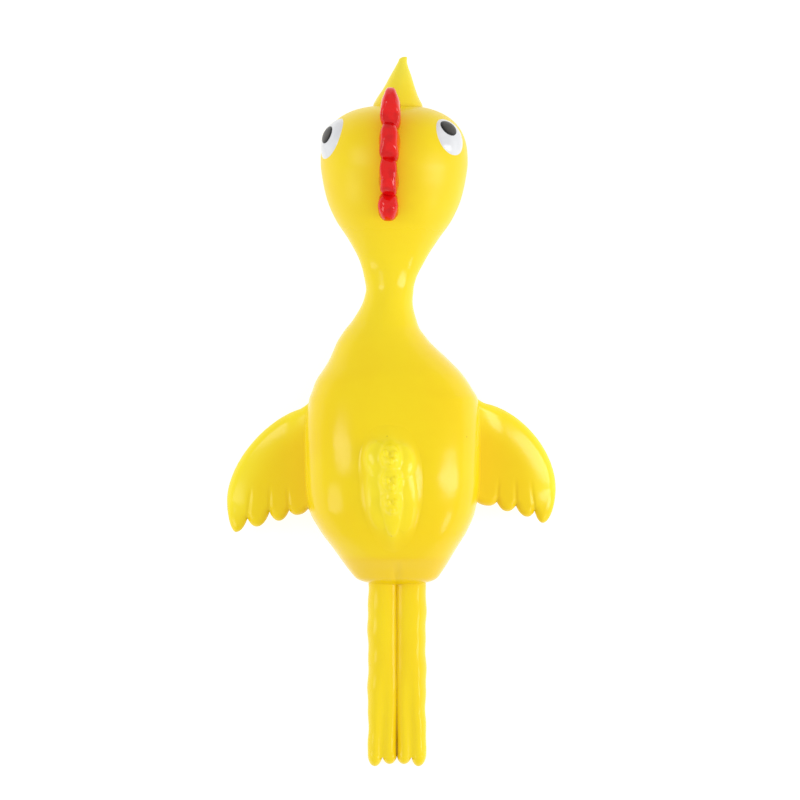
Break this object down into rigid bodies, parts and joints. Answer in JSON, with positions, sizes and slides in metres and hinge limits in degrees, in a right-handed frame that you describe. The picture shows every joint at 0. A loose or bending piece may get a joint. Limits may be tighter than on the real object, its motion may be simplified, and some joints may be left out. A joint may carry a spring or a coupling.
{
  "type": "stretchy rubber chicken",
  "caption": "Small stretchy rubber chicken lying on its belly, with a finger pocket under the head, spread wings, a tail tuft and two long legs.",
  "frame": {"origin": "under the middle of the whole bird, on the surface that its belly and toes rest on", "axes": "+Y from the toes towards the beak, +Z from the belly towards the back, +X to the bird's right"},
  "size_m": [0.0544, 0.1146, 0.0304],
  "materials": {
    "yellow_rubber": "gloss",
    "pale_yellow_rubber": "gloss",
    "red_paint": "gloss",
    "white_paint": "gloss",
    "black_paint": "gloss"
  },
  "bodies": {
    "torso": {"torso": "yellow_rubber"},
    "neck_lower": {"neck_lower": "yellow_rubber"},
    "neck_middle": {"neck_middle": "yellow_rubber"},
    "neck_upper": {"neck_upper": "yellow_rubber"},
    "head": {"nape": "yellow_rubber", "head": "yellow_rubber", "comb": "red_paint", "left_eye": "white_paint", "right_eye": "white_paint", "left_pupil": "black_paint", "right_pupil": "black_paint", "upper_beak": "pale_yellow_rubber", "lower_beak": "pale_yellow_rubber"},
    "left_wing": {"left_wing": "yellow_rubber"},
    "right_wing": {"right_wing": "yellow_rubber"},
    "tail": {"tail": "yellow_rubber", "left_tail_feathers": "yellow_rubber", "right_tail_feathers": "yellow_rubber"},
    "left_thigh": {"left_thigh": "yellow_rubber"},
    "left_shank": {"left_shank": "yellow_rubber"},
    "left_foot": {"left_foot": "yellow_rubber"},
    "right_thigh": {"right_thigh": "yellow_rubber"},
    "right_shank": {"right_shank": "yellow_rubber"},
    "right_foot": {"right_foot": "yellow_rubber"}
  },
  "joints": [
    {"name": "neck_sway", "type": "hinge", "parent": "torso", "child": "neck_lower", "pos_m": [0, 0.01415, 0.0116], "axis": [0, 0, 1], "range_deg": [-45, 45], "stiffness_Nm_per_rad": 0.03},
    {"name": "neck_stretch", "type": "slide", "parent": "neck_lower", "child": "neck_middle", "axis": [0, 1, 0], "range_m": [0, 0.015], "stiffness_N_per_m": 300},
    {"name": "neck_twist", "type": "hinge", "parent": "neck_middle", "child": "neck_upper", "pos_m": [0, 0.02, 0.0116], "axis": [0, 1, 0], "range_deg": [-60, 60], "stiffness_Nm_per_rad": 0.01},
    {"name": "head_nod", "type": "hinge", "parent": "neck_upper", "child": "head", "pos_m": [0, 0.02585, 0.0116], "axis": [1, 0, 0], "range_deg": [-50, 50], "stiffness_Nm_per_rad": 0.06},
    {"name": "left_wing_flap", "type": "hinge", "parent": "torso", "child": "left_wing", "pos_m": [-0.01381, -0.00756, 0.0086], "axis": [0, 1, 0], "range_deg": [-25, 50], "stiffness_Nm_per_rad": 0.003},
    {"name": "right_wing_flap", "type": "hinge", "parent": "torso", "child": "right_wing", "pos_m": [0.01381, -0.00756, 0.0086], "axis": [0, -1, 0], "range_deg": [-25, 50], "stiffness_Nm_per_rad": 0.003},
    {"name": "tail_flick", "type": "hinge", "parent": "torso", "child": "tail", "pos_m": [0, -0.01231, 0.0226], "axis": [0, 0.9903, 0.1392], "range_deg": [-20, 20], "stiffness_Nm_per_rad": 0.002},
    {"name": "left_hip_swing", "type": "hinge", "parent": "torso", "child": "left_thigh", "pos_m": [-0.00245, -0.03084, 0.009], "axis": [-1, 0, 0], "range_deg": [-40, 70], "stiffness_Nm_per_rad": 0.006},
    {"name": "left_leg_stretch", "type": "slide", "parent": "left_thigh", "child": "left_shank", "axis": [0, -0.9553, -0.2957], "range_m": [0, 0.02], "stiffness_N_per_m": 60},
    {"name": "left_ankle_flex", "type": "hinge", "parent": "left_shank", "child": "left_foot", "pos_m": [-0.00245, -0.04497, 0.00462], "axis": [-1, 0, 0], "range_deg": [-40, 40], "stiffness_Nm_per_rad": 0.001},
    {"name": "right_hip_swing", "type": "hinge", "parent": "torso", "child": "right_thigh", "pos_m": [0.00245, -0.03084, 0.009], "axis": [-1, 0, 0], "range_deg": [-40, 70], "stiffness_Nm_per_rad": 0.006},
    {"name": "right_leg_stretch", "type": "slide", "parent": "right_thigh", "child": "right_shank", "axis": [0, -0.9553, -0.2957], "range_m": [0, 0.02], "stiffness_N_per_m": 60},
    {"name": "right_ankle_flex", "type": "hinge", "parent": "right_shank", "child": "right_foot", "pos_m": [0.00245, -0.04497, 0.00462], "axis": [-1, 0, 0], "range_deg": [-40, 40], "stiffness_Nm_per_rad": 0.001}
  ]
}
